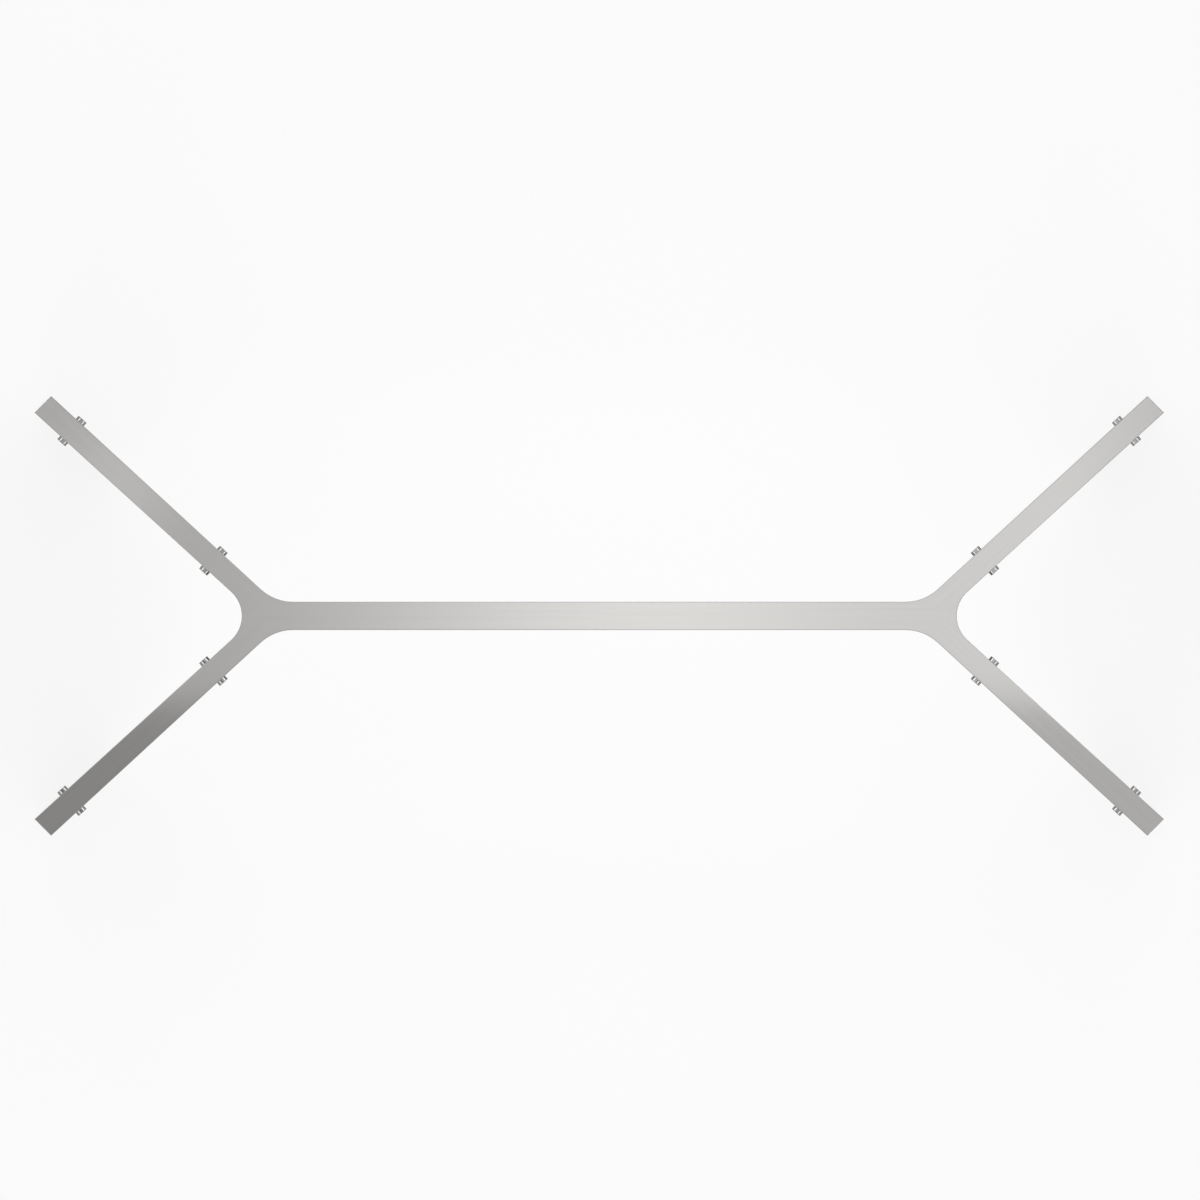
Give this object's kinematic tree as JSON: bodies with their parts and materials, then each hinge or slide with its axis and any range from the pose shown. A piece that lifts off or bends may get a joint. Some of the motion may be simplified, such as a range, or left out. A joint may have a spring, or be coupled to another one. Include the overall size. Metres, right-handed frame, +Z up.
{
  "type": "dining table base",
  "caption": "Double-Y steel table base: a flat hollow beam forks into arms at both ends, each arm carried on a tapered blade leg held by round-headed screws.",
  "frame": {"origin": "on the floor, under the middle of the beam", "axes": "+X along the beam, +Y across it, +Z up"},
  "size_m": [2, 0.7786, 0.72],
  "materials": {
    "satin_steel": "satin",
    "polished_steel": "polished",
    "glide_nylon": "matte"
  },
  "bodies": {
    "root": {"top_frame": "satin_steel", "leg_front_left": "satin_steel", "leg_front_right": "satin_steel", "leg_back_left": "satin_steel", "leg_back_right": "satin_steel", "cap_screws": "polished_steel", "glide_front_left_tip": "glide_nylon", "glide_front_left_fork": "glide_nylon", "glide_front_right_tip": "glide_nylon", "glide_front_right_fork": "glide_nylon", "glide_back_left_tip": "glide_nylon", "glide_back_left_fork": "glide_nylon", "glide_back_right_tip": "glide_nylon", "glide_back_right_fork": "glide_nylon"}
  },
  "joints": []
}
